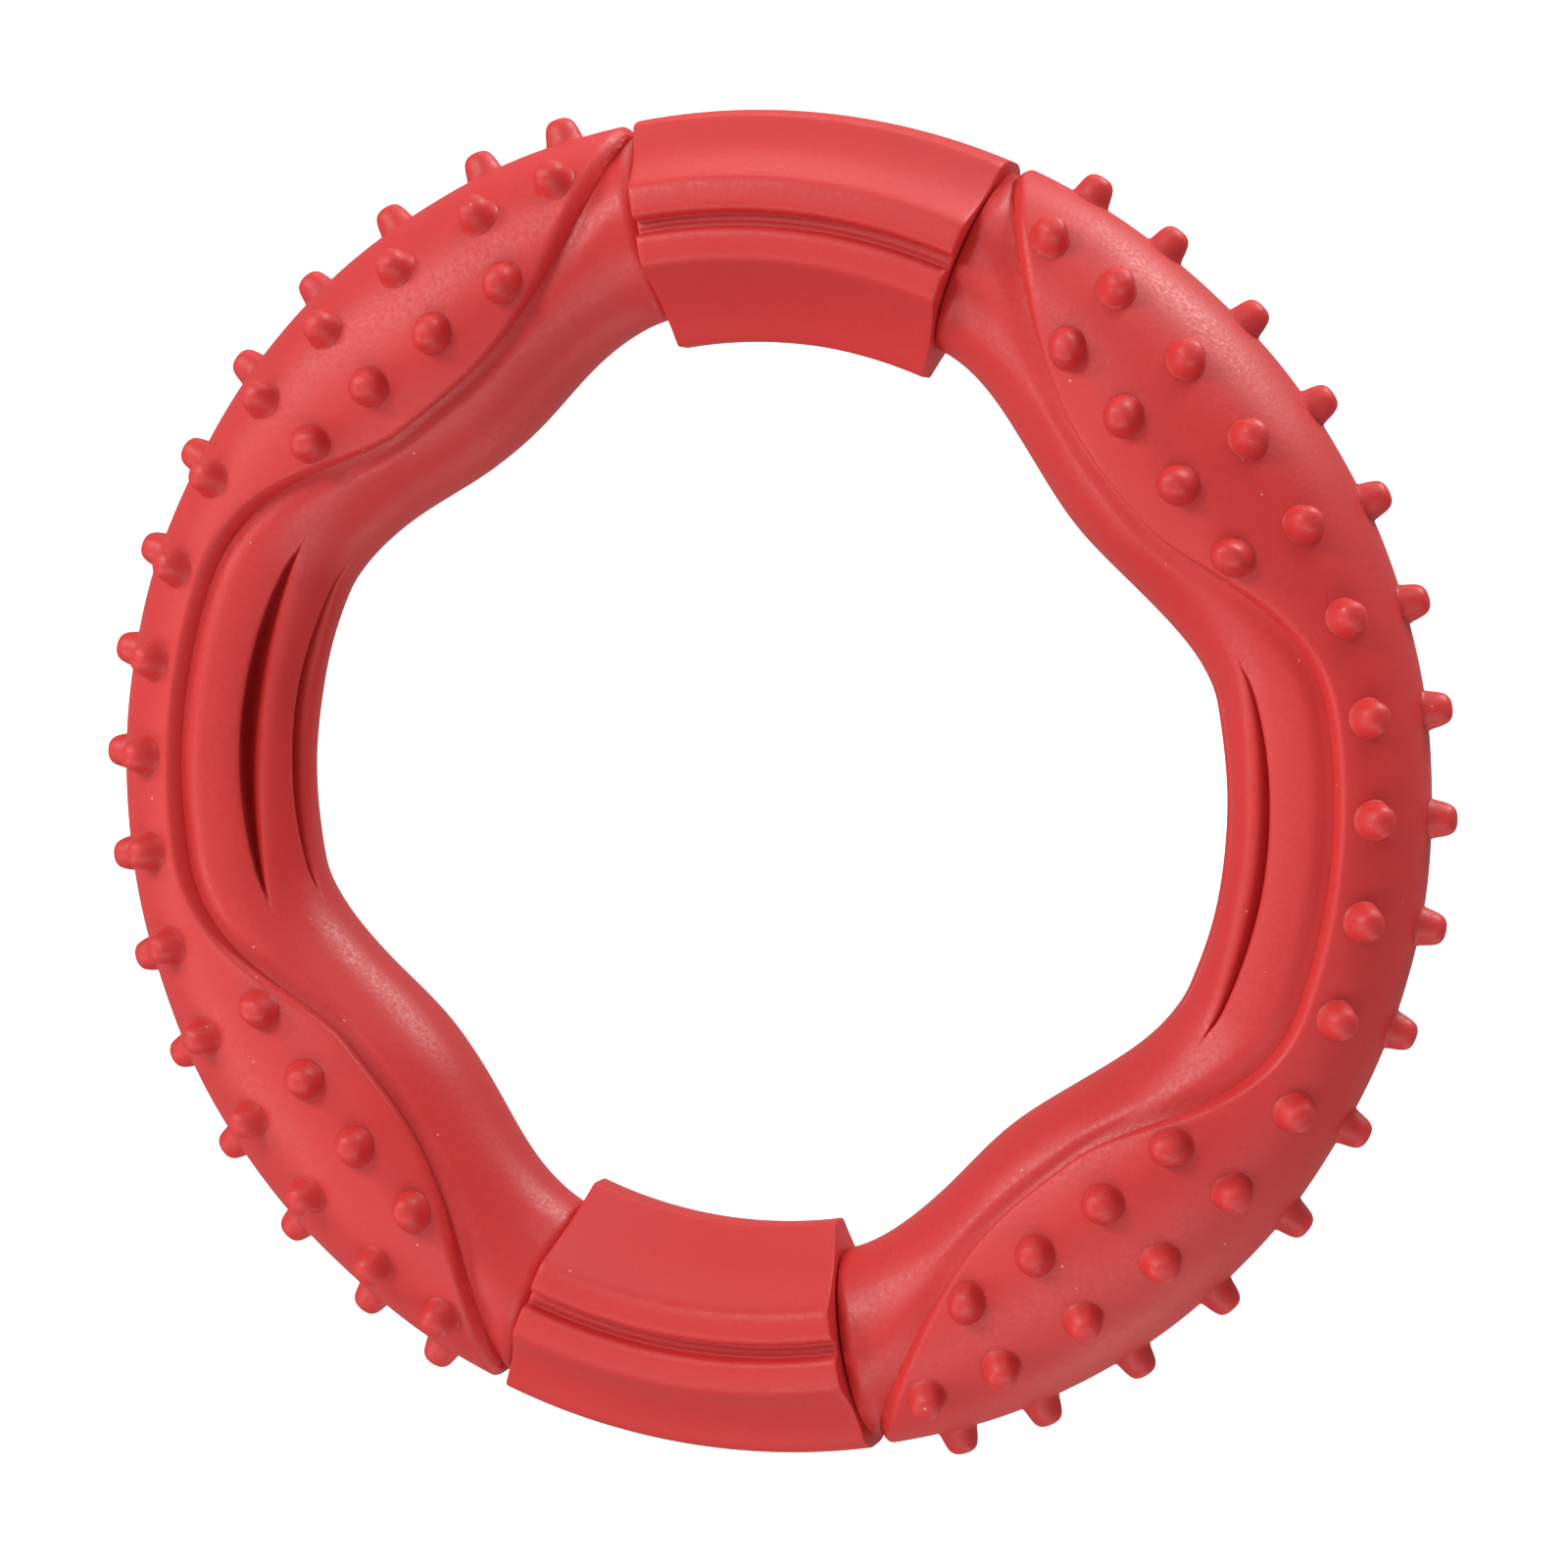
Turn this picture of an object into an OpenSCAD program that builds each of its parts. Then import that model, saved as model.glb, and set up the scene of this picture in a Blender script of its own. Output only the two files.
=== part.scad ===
// Rubber chew ring for a dog: a thick round core bent into a ring, two nubbed
// treads moulded over its long sides and two plain bands moulded round its necks.
// The ring lies flat, its axis is Z and its bands stand at plus and minus Y.

/* [Ring] */
// Radius from the ring's axis to the outside of the bare treads
out_r = 79; // [76:0.5:84]
// Width of the tread's round at the long sides and the bands
side_w = 24.7; // [23:0.1:26]
// Width of the tread's round at the lobes
lobe_w = 31.2; // [27:0.1:33]
// Angle from the long sides to the middle of each lobe
lobe_at_angle = 45.4; // [40:0.2:48]
// Height of the round section as a share of its width
flat_share = 0.95; // [0.85:0.01:1.05]

/* [Treads] */
// Thickness of a tread over the core
tread_t = 1.3; // [0.9:0.1:2]
// Gap between the core and what is moulded over it
fit_gap = 0.1; // [0.05:0.01:0.2]
// Angle from a band's end to where a tread's outline starts
tip_gap_angle = 1.2; // [1.2:0.1:3.6]
// Angle by which a tread's tip is cut off blunt
tip_cut_angle = 0.3; // [0.2:0.1:1]
// How far a tread reaches round the section at the long sides, in degrees
side_reach_angle = 73; // [66:1:80]
// How far a tread reaches round the section at the lobes, in degrees
lobe_reach_angle = 115; // [104:1:120]
// Angle past a lobe's middle over which a tread keeps its full reach
crest_angle = 5.4; // [2:0.1:8]
// Angle from the middle of a long side over which a tread keeps its narrow reach
side_run_angle = 14; // [8:0.5:18]

/* [Nubs] */
// Diameter of a nub at its foot
nub_d = 4.66; // [4:0.1:5.6]
// Diameter of a nub where its top starts to round
nub_shoulder_d = 3.8; // [3.4:0.1:4.2]
// Diameter of the flat on a nub's top
nub_top_d = 1.8; // [1.2:0.1:2.8]
// Height of the round on a nub's top
nub_round = 1.2; // [0.8:0.1:1.6]
// Height of a nub over the tread
nub_h = 3; // [2.2:0.1:3.6]
// Angle round the ring from one nub to the next
nub_step_angle = 9.04; // [8.4:0.01:9.1]
// Angle round the ring from the last nub but one to the last
end_step_angle = 7.65; // [7:0.05:8.2]
// Angle round the section from the outermost row to the rows beside it
row_two_angle = 55.5; // [50:0.5:60]
// Angle round the section from the outermost row to the rows on the lobes
row_three_angle = 91.5; // [88:0.5:98]
// Angle round the section that a row of nubs keeps from the tread's edge
row_clear_angle = 10; // [8:0.5:12]
// Angle round the ring that the last nub keeps from the tread's tip
tip_clear_angle = 5.5; // [5:0.1:6]

/* [Bands] */
// How far a band's outer land lies inside the bare treads' outside
outer_back = 0.2; // [0.1:0.1:0.5]
// How far a band's inner land stands out past the neck's round
inner_proud = 2.3; // [1.3:0.1:4.3]
// How far a band's rails stand out over the neck's round
rail_proud = 1.27; // [1:0.01:2.2]
// Depth of the seat in the core's neck that a band fills
seat_deep = 0.9; // [0.8:0.1:1.6]
// Half of the angle that a band spans
band_half_angle = 16.4; // [14:0.1:16.8]
// Width of a band's front and back rails
rail_w = 10.1; // [8.6:0.1:11]
// How far the rails' middle lies outside the middle between the lands
rail_off = 0.3; // [0:0.1:1.2]
// Size of the round on each rail's shoulders
rail_round = 0.9; // [0.6:0.1:1.4]
// Half of the height of the outer land between its rounds
outer_land = 2.7; // [1.8:0.1:3]
// Size of the rounds beside the outer land
outer_round_h = 2.9; // [2.4:0.1:3.2]
// How far the rounds beside the outer land draw in
outer_round_in = 0.7; // [0.5:0.1:1.2]
// Half of the height of the inner land
inner_land = 2.2; // [1.4:0.1:3]
// Depth of the hollow between the rails and the outer land
outer_hollow = 0.9; // [0.1:0.1:1]
// Depth of the hollow between the rails and the inner land
inner_hollow = 0.8; // [0.1:0.1:1]
// Width of the groove along each rail, over its rounded lips
groove_w = 4.4; // [4:0.1:4.8]
// Width of the round on each lip of the groove
groove_lip_w = 1.3; // [1:0.1:1.3]
// Depth of the round on each lip of the groove
groove_lip_h = 0.8; // [0.5:0.1:0.8]
// Width of the groove's flat floor
groove_floor_w = 1.4; // [1:0.1:1.4]
// How far the groove's middle lies outside the middle between the lands
groove_off = 0.2; // [0:0.1:1]
// Depth of the groove along each rail
groove_deep = 1.3; // [1:0.1:1.5]
// Width of the thin rib on the groove's floor
rib_w = 0.5; // [0.3:0.1:0.8]
// Height of the thin rib on the groove's floor
rib_h = 0.2; // [0.1:0.05:0.6]

/* [Slots] */
// Widest opening of a slot
slot_w = 2.4; // [1.6:0.1:3]
// Depth of a slot below the core's face
slot_deep = 6; // [4:0.5:6.5]
// Half of the angle round the ring that a slot spans
slot_half_angle = 20.3; // [14:0.1:22]
// Angle round the section from one slot to the next
slot_step_angle = 38.3; // [36:0.1:42]
// Width of a slot's floor and of its pointed ends
slot_thin = 0.6; // [0.4:0.1:1]

/* [Hidden] */
// Overrun of the cuts past the faces that they open
over = 1;
// Thickness of the thin plates whose hulls make the slots
plate = 0.01;
// Shares of a swelling's and a tread tip's curves
swell_share = 0.82;
tip_share = 0.6;
tip_bend_share = 3;
// Counts of faces
core_turn = 30;
seat_turn = 7;
core_round = 28;
tread_turn = 36;
tread_round = 18;
nub_sides = 10;
hollow_steps = 8;
slots = 4;
slot_steps = 8;
// Angle between a band's end and the step down into its seat
seat_gap_angle = 0.2;
// A lobe swells from the long side up to the band's seat
lobe_half_angle = 90 - lobe_at_angle - band_half_angle - seat_gap_angle;
// Angle from the bands' middle to where a tread's outline starts
tip_at_angle = band_half_angle + tip_gap_angle;
// Depth of a nub's foot below the tread's face
nub_sink = (tread_t - fit_gap) * 2 / 3;
// Angle from the nearest long side, from 0 there to 90 at the bands
function from_side(a) = let (m = ((a % 180) + 180) % 180) m > 90 ? 180 - m : m;
// Swelling of the section, 0 at the long sides and the bands and 1 at a lobe's middle
function swell(a) = let (u = (from_side(a) - lobe_at_angle) / lobe_half_angle)
    abs(u) < 1 ? pow((1 + cos(180 * u)) / 2, swell_share) : 0;
// Round section at an angle: its middle radius, half width and half height
function half_w(a) = (side_w + (lobe_w - side_w) * swell(a)) / 2;
function middle_r(a) = out_r - half_w(a);
function half_h(a) = flat_share * half_w(a);
// Point of the section, as radius and height, at an angle round it and a height over the tread's face
function section(a, b, over_face) =
    [middle_r(a) + (half_w(a) + over_face) * cos(b), (half_h(a) + over_face) * sin(b)];
function turned(p, a) = [p[0] * cos(a), p[0] * sin(a), p[1] + mid_h];
// Direction square to the section's outline, as an angle over the middle plane
function square_to(a, b) = atan2(sin(b) / half_h(a), cos(b) / half_w(a));
// Reach of a tread round the section at an angle from the bands' middle
function tip_curve(u) = pow(1 - pow(1 - u, tip_bend_share), tip_share);
function reach(a) = let (
        s = from_side(a),
        u = (90 - s - tip_at_angle) / (90 - lobe_at_angle - tip_at_angle),
        v = (s - side_run_angle) / (lobe_at_angle - crest_angle - side_run_angle))
    u < 1 ? lobe_reach_angle * tip_curve(max(u, 0))
    : v > 1 ? lobe_reach_angle
    : v < 0 ? side_reach_angle
    : side_reach_angle + (lobe_reach_angle - side_reach_angle) * (1 - cos(180 * v)) / 2;
// Angle from the long side at which a tread ends
tread_end_angle = 90 - tip_at_angle - tip_cut_angle;
// Angles of the nubs' columns from the long side, and the rows that the tread has room for there
columns = 2 + floor((tread_end_angle - tip_clear_angle - end_step_angle) / nub_step_angle - 1 / 2);
function column_at(k) = k < columns - 1
    ? (k + 1 / 2) * nub_step_angle
    : (k - 1 / 2) * nub_step_angle + end_step_angle;
function rows(k) = let (room = reach(column_at(k)) - row_clear_angle)
    [0, for (b = [row_two_angle, row_three_angle]) if (b < room) each [b, -b]];
function nub_tip(a, b) = let (n = square_to(a, b))
    section(a, b, 0)[1] + nub_h * sin(n) + abs(nub_top_d / 2 * cos(n));
// Height of a band's rails over the middle plane
rail_h = half_h(90) + rail_proud;
// Height of the middle plane, so that the lowest nubs stand at zero
mid_h = max(concat([rail_h], [for (k = [0:columns - 1], b = rows(k)) nub_tip(column_at(k), b)]));
// Neck of the core inside a band
neck_mid = middle_r(90);
neck_w = half_w(90) - tread_t - seat_deep;
neck_h = half_h(90) - tread_t - seat_deep;
// Angle from the bands' middle to the end of the seat, and from the long side to the foot of its step
seat_end_angle = band_half_angle + seat_gap_angle;
free_end_angle = 90 - seat_end_angle - seat_gap_angle;
core_angles = [for (side = [0, 180]) each concat(
    [for (i = [0:core_turn]) side + free_end_angle * (2 * i / core_turn - 1)],
    [for (i = [0:seat_turn]) side + 90 + seat_end_angle * (2 * i / seat_turn - 1)])];
function core_skin(a) = -tread_t - (90 - from_side(a) > seat_end_angle + seat_gap_angle / 2 ? 0 : seat_deep);
// Radii from the axis to a band's outer land and to its inner land
band_out_r = out_r - outer_back;
band_in_r = out_r - side_w - inner_proud;
// Radii to the middle between the lands, to the middle of the rails and to the middle of the groove
band_mid = (band_out_r + band_in_r) / 2;
rail_mid = band_mid + rail_off;
groove_mid = band_mid + groove_off;

// Faces between rings of points, each ring closed on itself
function quads(i, j, n, m) = let (
        p = i * m + j,
        q = i * m + (j + 1) % m,
        r = ((i + 1) % n) * m + (j + 1) % m,
        s = ((i + 1) % n) * m + j)
    [[p, q, r], [p, r, s]];

// Ring-shaped core without its slots
module core_round_ring() {
    points = [for (a = core_angles, j = [0:core_round - 1])
        turned(section(a, j * 360 / core_round, core_skin(a)), a)];
    faces = [for (i = [0:len(core_angles) - 1], j = [0:core_round - 1])
        each quads(i, j, len(core_angles), core_round)];
    polyhedron(points, faces, convexity = 6);
}

// One thin plate across a slot, at an angle round the ring and round the section
module slot_plate(a, b, u) {
    w = slot_thin + (slot_w - slot_thin) * pow(1 - u * u, swell_share);
    p = section(a, b, -tread_t);
    d = slot_thin + (slot_deep - slot_thin) * sqrt(1 - u * u);
    n = square_to(a, b);
    translate([p[0] * cos(a), p[0] * sin(a), p[1] + mid_h])
        rotate([0, 0, a])
            rotate([90, 0, 0])
                rotate(n)
                    linear_extrude(plate, center = true)
                        polygon([[over, -w / 2], [over, w / 2], [-d, slot_thin / 2], [-d, -slot_thin / 2]]);
}

// Slot with pointed ends, along the core's inner side
module slot(side, b) {
    for (i = [0:slot_steps - 1])
        hull() {
            u = 2 * i / slot_steps - 1;
            v = 2 * (i + 1) / slot_steps - 1;
            slot_plate(side + slot_half_angle * u, b, u);
            slot_plate(side + slot_half_angle * v, b, v);
        }
}

// Core: the whole ring under the treads and the bands, with its slots at each long side
module core_ring() {
    color("#c03a3a")
        difference() {
            core_round_ring();
            for (side = [0, 180], k = [0:slots - 1])
                slot(side, 180 + (k - (slots - 1) / 2) * slot_step_angle);
        }
}

// Skin of a tread: outer face, inner face along the core, and the edge between them
module tread_skin() {
    ring = 2 * (tread_round + 1);
    points = [for (i = [0:tread_turn])
        let (
            u = 2 * i / tread_turn - 1,
            a = tread_end_angle * (u + sin(90 * u)) / 2,
            e = reach(a))
        each concat(
            [for (j = [0:tread_round])
                turned(section(a, e * (2 * j / tread_round - 1), 0), a)],
            [for (j = [tread_round:-1:0])
                turned(section(a, e * (2 * j / tread_round - 1), fit_gap - tread_t), a)])];
    sides = [for (i = [0:tread_turn - 1], j = [0:ring - 1])
        let (p = i * ring + j, q = i * ring + (j + 1) % ring)
            each [[p, q + ring, p + ring], [p, q, q + ring]]];
    // Each end is closed between the outer and the inner row
    first = [for (j = [0:tread_round - 1]) let (k = ring - 1 - j)
        each [[j, k - 1, j + 1], [j, k, k - 1]]];
    at_last = tread_turn * ring;
    last = [for (f = first) [f[2] + at_last, f[1] + at_last, f[0] + at_last]];
    polyhedron(points, concat(sides, first, last), convexity = 6);
}

// Nub with a wide foot and a rounded top, square to the tread
module nub(a, b) {
    p = section(a, b, 0);
    translate([p[0] * cos(a), p[0] * sin(a), p[1] + mid_h])
        rotate([0, 0, a])
            rotate([0, 90 - square_to(a, b), 0])
                hull() {
                    translate([0, 0, -nub_sink])
                        cylinder(
                            h = nub_sink + nub_h - nub_round, d1 = nub_d, d2 = nub_shoulder_d,
                            $fn = nub_sides);
                    translate([0, 0, nub_h - nub_round])
                        cylinder(h = nub_round, d1 = nub_shoulder_d, d2 = nub_top_d, $fn = nub_sides);
                }
}

// Tread over one long side, from band to band, with its rows of nubs
module tread() {
    tread_skin();
    for (k = [0:columns - 1], side = [-1, 1], b = rows(k))
        nub(side * column_at(k), b);
}

module left_tread() {
    color("#d05050")
        rotate([0, 0, 180]) tread();
}

module right_tread() {
    color("#d05050")
        tread();
}

// Outline of a band's upper half from its outer land to its inner land, as radius and height
function facet(p, q, hollow) = [for (i = [0:hollow_steps])
    let (u = i / hollow_steps, d = q - p, n = [d[1], -d[0]] / norm(d))
        p + u * d - n * hollow * sin(180 * u)];
function band_half_outline() = let (
        rail_out = rail_mid + rail_w / 2,
        rail_in = rail_mid - rail_w / 2,
        floor_h = rail_h - groove_deep)
    concat(
        [
            [band_out_r, outer_land],
            [band_out_r - outer_round_in / 6, outer_land + outer_round_h / 3],
            [band_out_r - outer_round_in / 2, outer_land + outer_round_h * 2 / 3]
        ],
        facet(
            [band_out_r - outer_round_in, outer_land + outer_round_h],
            [rail_out, rail_h - rail_round],
            outer_hollow),
        [
            [rail_out - rail_round / 3, rail_h - rail_round / 3],
            [rail_out - rail_round, rail_h],
            [groove_mid + groove_w / 2, rail_h],
            [groove_mid + groove_w / 2 - groove_lip_w * 2 / 3, rail_h - groove_lip_h / 3],
            [groove_mid + groove_w / 2 - groove_lip_w, rail_h - groove_lip_h],
            [groove_mid + groove_floor_w / 2, floor_h],
            [groove_mid + rib_w / 2, floor_h],
            [groove_mid + rib_w / 2, floor_h + rib_h],
            [groove_mid - rib_w / 2, floor_h + rib_h],
            [groove_mid - rib_w / 2, floor_h],
            [groove_mid - groove_floor_w / 2, floor_h],
            [groove_mid - groove_w / 2 + groove_lip_w, rail_h - groove_lip_h],
            [groove_mid - groove_w / 2 + groove_lip_w * 2 / 3, rail_h - groove_lip_h / 3],
            [groove_mid - groove_w / 2, rail_h],
            [rail_in + rail_round, rail_h],
            [rail_in + rail_round / 3, rail_h - rail_round / 3]
        ],
        facet([rail_in, rail_h - rail_round], [band_in_r, inner_land], inner_hollow));

// Band round one neck of the core: an I-shaped collar with a bore that follows the neck
module band(at) {
    half = band_half_outline();
    count = len(half);
    outline = concat(half, [for (i = [count - 1:-1:0]) [half[i][0], -half[i][1]]]);
    bore = [for (j = [0:core_round - 1]) let (b = j * 360 / core_round)
        [neck_mid + (neck_w + fit_gap) * cos(b), (neck_h + fit_gap) * sin(b)]];
    translate([0, 0, mid_h])
        rotate([0, 0, at - band_half_angle])
            rotate_extrude(angle = 2 * band_half_angle, $fn = 120)
                difference() {
                    polygon(outline);
                    polygon(bore);
                }
}

module top_band() {
    color("#cc4848")
        band(90);
}

module bottom_band() {
    color("#cc4848")
        band(270);
}

core_ring();
left_tread();
right_tread();
top_band();
bottom_band();
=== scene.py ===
# %% [markdown]
# # A rubber chew ring
# The toy is one thick ring of moulded rubber for a dog to pull and chew. Five pieces make it:
# a smooth round core, two nubbed treads moulded over its long sides, and two I-shaped bands
# moulded round its necks. The CAD model already has all five at their real sizes, so this lesson
# loads it as a fixed frame and dresses each piece with a finer mesh and a rubber finish.

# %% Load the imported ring
import math

import bpy
import numpy as np
from mathutils import Matrix, Vector


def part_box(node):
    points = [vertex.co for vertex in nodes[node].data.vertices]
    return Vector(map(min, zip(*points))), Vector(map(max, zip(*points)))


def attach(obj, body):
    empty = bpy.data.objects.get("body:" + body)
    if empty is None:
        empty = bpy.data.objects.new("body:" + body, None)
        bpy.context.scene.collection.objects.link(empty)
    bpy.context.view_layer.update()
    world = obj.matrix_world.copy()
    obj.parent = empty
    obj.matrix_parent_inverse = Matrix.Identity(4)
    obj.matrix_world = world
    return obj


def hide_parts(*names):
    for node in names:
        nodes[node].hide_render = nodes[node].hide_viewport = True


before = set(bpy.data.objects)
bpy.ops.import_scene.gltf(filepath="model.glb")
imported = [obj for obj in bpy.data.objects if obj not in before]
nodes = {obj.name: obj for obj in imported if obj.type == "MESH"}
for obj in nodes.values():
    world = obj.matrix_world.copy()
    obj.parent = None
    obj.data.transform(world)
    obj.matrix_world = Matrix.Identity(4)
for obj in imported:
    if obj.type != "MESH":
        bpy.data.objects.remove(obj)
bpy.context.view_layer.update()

MM = 0.001
print("nodes:", sorted(nodes))

# %% [markdown]
# ## The shape that every piece shares
# All five pieces follow one rule: a round section is carried round a circle, and it swells at four
# lobes. A point has an angle `a` round the ring, an angle `b` round the section (0 on the outside,
# 90 on top, 180 on the inside) and a height over the tread's face. Working with these three numbers
# keeps the treads, the nubs and the slots true to the core, whatever its curve does below them.

# %% Width of the section, in millimetres, at an angle in degrees
OUT_R, SIDE_W, LOBE_W = 79.0, 24.7, 31.2
LOBE_AT, LOBE_HALF, SWELL_POWER = 45.4, 28.0, 0.82


def sin(x):
    return np.sin(np.radians(x))


def cos(x):
    return np.cos(np.radians(x))


def from_side(a):
    """Angle from the nearest long side: 0 there, 90 at the bands."""
    m = np.mod(a, 180.0)
    return np.where(m > 90, 180 - m, m)


def half_width(a):
    """Half of the section's width; the lobes swell it."""
    u = np.clip((from_side(a) - LOBE_AT) / LOBE_HALF, -1, 1)
    swell = ((1 + np.cos(np.pi * u)) / 2) ** SWELL_POWER
    return (SIDE_W + (LOBE_W - SIDE_W) * swell) / 2


widths = (2 * half_width(0), 2 * half_width(LOBE_AT))
print("width at a long side %.1f mm, at a lobe %.1f mm" % widths)

# %% From two angles and a height to a point
# Height of the section over its width, and the size of the waves in its skin
FLAT, WAVE = 0.95, 0.05
low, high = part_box("top_band")
MID_Z = (low.z + high.z) / 2 / MM
print("height of the middle plane: %.3f mm" % MID_Z)


def unevenness(a, b):
    """Slow waves of about a tenth of a millimetre, as a hand-filled mould leaves them."""
    return WAVE * (sin(5 * a + 40) * cos(2 * b + 15) + sin(9 * a + 130) * sin(3 * b + 70)
                   + 0.7 * sin(14 * a + 3 * b + 200) + 0.6 * cos(23 * a - 4 * b + 20))


def on_ring(a, b, over):
    """Points in metres from angles in degrees and a height over the tread's face in mm."""
    a, b, over = np.broadcast_arrays(a, b, over)
    w = half_width(a)
    over = over + unevenness(a, b)
    radius = OUT_R - w + (w + over) * cos(b)
    height = MID_Z + (FLAT * w + over) * sin(b)
    return np.stack([radius * cos(a), radius * sin(a), height], -1) * MM


# %% [markdown]
# ## Small helpers for modelling
# The pieces are modelled with Blender's own operators, as by hand. An operator works on all that is
# selected, so each step starts with nothing selected, and points and edges are then picked in code
# by their place.

# %% Start, select and place
def start(name):
    """Names the primitive that was just added and returns it."""
    piece = bpy.context.object
    piece.name = name
    piece.data.name = name
    return piece


def nothing_selected():
    """Leaves edit mode and deselects every object."""
    if bpy.context.mode != "OBJECT":
        bpy.ops.object.mode_set(mode="OBJECT")
    bpy.ops.object.select_all(action="DESELECT")


def points_of(piece):
    """All points of a mesh, one row each, in metres."""
    found = np.empty(len(piece.data.vertices) * 3, np.float32)
    piece.data.vertices.foreach_get("co", found)
    return found.reshape(-1, 3)


def place(piece, points):
    """Moves every point of a mesh to its place; rows of `points` follow the mesh's own order."""
    piece.data.vertices.foreach_set("co", np.asarray(points, np.float32).reshape(-1))
    piece.data.update()


def only(piece):
    """Selects one piece and makes it the active one."""
    nothing_selected()
    piece.select_set(True)
    bpy.context.view_layer.objects.active = piece


def edit(piece, kind="VERT"):
    """Opens one piece in edit mode, ready to select points, edges or faces."""
    only(piece)
    bpy.ops.object.mode_set(mode="EDIT")
    bpy.ops.mesh.select_mode(type=kind)


def face_outwards():
    """Turns all normals of the piece in edit mode outwards and leaves edit mode."""
    bpy.ops.mesh.select_all(action="SELECT")
    bpy.ops.mesh.normals_make_consistent(inside=False)
    nothing_selected()


def shade(piece, degrees=None):
    """Shades a piece smooth, up to an angle between its faces if one is given."""
    only(piece)
    if degrees is None:
        bpy.ops.object.shade_smooth()
    else:
        bpy.ops.object.shade_smooth_by_angle(angle=math.radians(degrees))


def report(piece):
    """Prints a piece's size and how many triangles it has."""
    points = points_of(piece)
    span = (points.max(0) - points.min(0)) / MM
    triangles = sum(len(p.vertices) - 2 for p in piece.data.polygons)
    print("%s: %.1f x %.1f x %.1f mm, %d triangles" % (piece.name, *span, triangles))


print("helpers are ready")


# %% [markdown]
# ## Where the treads end
# The outline of a tread is worked out first, because both the core and the tread follow it. On the
# real ring the tread's edge slopes down to a foot that lies 0.8 mm outside the outline, and the core
# is drawn down to that foot as well. So the edge stands in a shallow channel, which keeps the crease
# dark.

# %% Outline of a tread
TIP_AT, TIP_CUT, SIDE_REACH, LOBE_REACH = 17.6, 0.3, 73.0, 115.0
CREST, SIDE_RUN, TIP_POWER = 5.4, 14.0, 0.6
TREAD_END = 90 - TIP_AT - TIP_CUT
print("a tread spans %.1f degrees to each side" % TREAD_END)


def reach(a):
    """How far the tread reaches round the section, in degrees from its outermost line."""
    s = from_side(a)
    u = np.clip((90 - s - TIP_AT) / (90 - LOBE_AT - TIP_AT), 0, 1)
    v = np.clip((s - SIDE_RUN) / (LOBE_AT - CREST - SIDE_RUN), 0, 1)
    tip = LOBE_REACH * (1 - (1 - u) ** 3) ** TIP_POWER
    side = SIDE_REACH + (LOBE_REACH - SIDE_REACH) * (1 - np.cos(np.pi * v)) / 2
    return np.where(u < 1, tip, side)


# %% Foot line of a tread, outside its outline
EDGE_FOOT, NUDGE = 0.8, 0.01
fine = np.linspace(-TREAD_END, TREAD_END, 4001)
line = on_ring(fine, reach(fine), 0)
mm_per_a = np.linalg.norm(on_ring(fine + NUDGE, reach(fine), 0) - line, axis=1) / NUDGE / MM
mm_per_b = np.linalg.norm(on_ring(fine, reach(fine) + NUDGE, 0) - line, axis=1) / NUDGE / MM
run, rise = np.gradient(fine) * mm_per_a, np.gradient(reach(fine)) * mm_per_b
foot_a = fine - EDGE_FOOT * rise / np.hypot(run, rise) / mm_per_a
foot_b = reach(fine) + EDGE_FOOT * run / np.hypot(run, rise) / mm_per_b
steps = np.linalg.norm(np.diff(on_ring(foot_a, foot_b, 0), axis=0), axis=1)
along = np.concatenate([[0], np.cumsum(steps)])
print("edge of a tread: %.0f mm long" % (along[-1] / MM))


def foot_distance(points):
    """Distance in mm from points on the tread's face to the line of a tread's foot."""
    blunt = np.linspace(-foot_b[0], foot_b[0], 15)
    rim = np.concatenate(
        [on_ring(foot_a[::3], s * foot_b[::3], 0) for s in (-1, 1)]
        + [on_ring(foot_a[0], blunt, 0), on_ring(foot_a[-1], blunt, 0)])
    flat = points.reshape(-1, 3)
    nearest = np.empty(len(flat))
    # A thousand points at a time, which keeps the table of distances small
    for i in range(0, len(flat), 1000):
        gap = flat[i:i + 1000, None] - rim[None]
        nearest[i:i + 1000] = np.sqrt((gap * gap).sum(-1)).min(1)
    return nearest.reshape(points.shape[:-1]) / MM


# %% [markdown]
# ## The core
# The core is the thick ring that the jaws close on. A torus has the right threads already: its rings
# run round the section, one beside the next. So a torus is added and each of its points is moved to
# the swelling section. Cutting the slots with a Boolean would leave ragged lips, and here each
# slot's lips, walls and floor are threads of the torus that dip into the rubber. The lips are then
# as round as the real ones, which were made by thin blades in the mould.

# %% Threads round the section
# Round of a slot's lips: crisp on the side of the tread, soft on the side of the hole
CRISP_LIP, SOFT_LIP, LIP_REACH = 0.45, 1.1, 2.0
SLOT_STEP, SLOT_COUNT, PLAIN_THREADS = 38.3, 4, 58
# Each row: share of the half opening, of the lip across, of the lip down and of the wall down
LIP_SHARES = [
    (1.00, LIP_REACH, 0.00, 0.00), (1.00, 1.45, 0.04, 0.00), (1.00, 1.00, 0.14, 0.00),
    (1.00, 0.55, 0.34, 0.00), (1.00, 0.22, 0.62, 0.00), (1.00, 0.00, 1.00, 0.04),
    (0.94, 0.00, 1.00, 0.25), (0.84, 0.00, 1.00, 0.55), (0.66, 0.00, 1.00, 0.82),
    (0.38, 0.00, 1.00, 0.96), (0.00, 0.00, 1.00, 1.00),
]
profile = [(-1, *row) for row in LIP_SHARES] + [(1, *row) for row in LIP_SHARES[-2::-1]]
slot_rows = [180 + (k - (SLOT_COUNT - 1) / 2) * SLOT_STEP for k in range(SLOT_COUNT)]
threads = []
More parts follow.
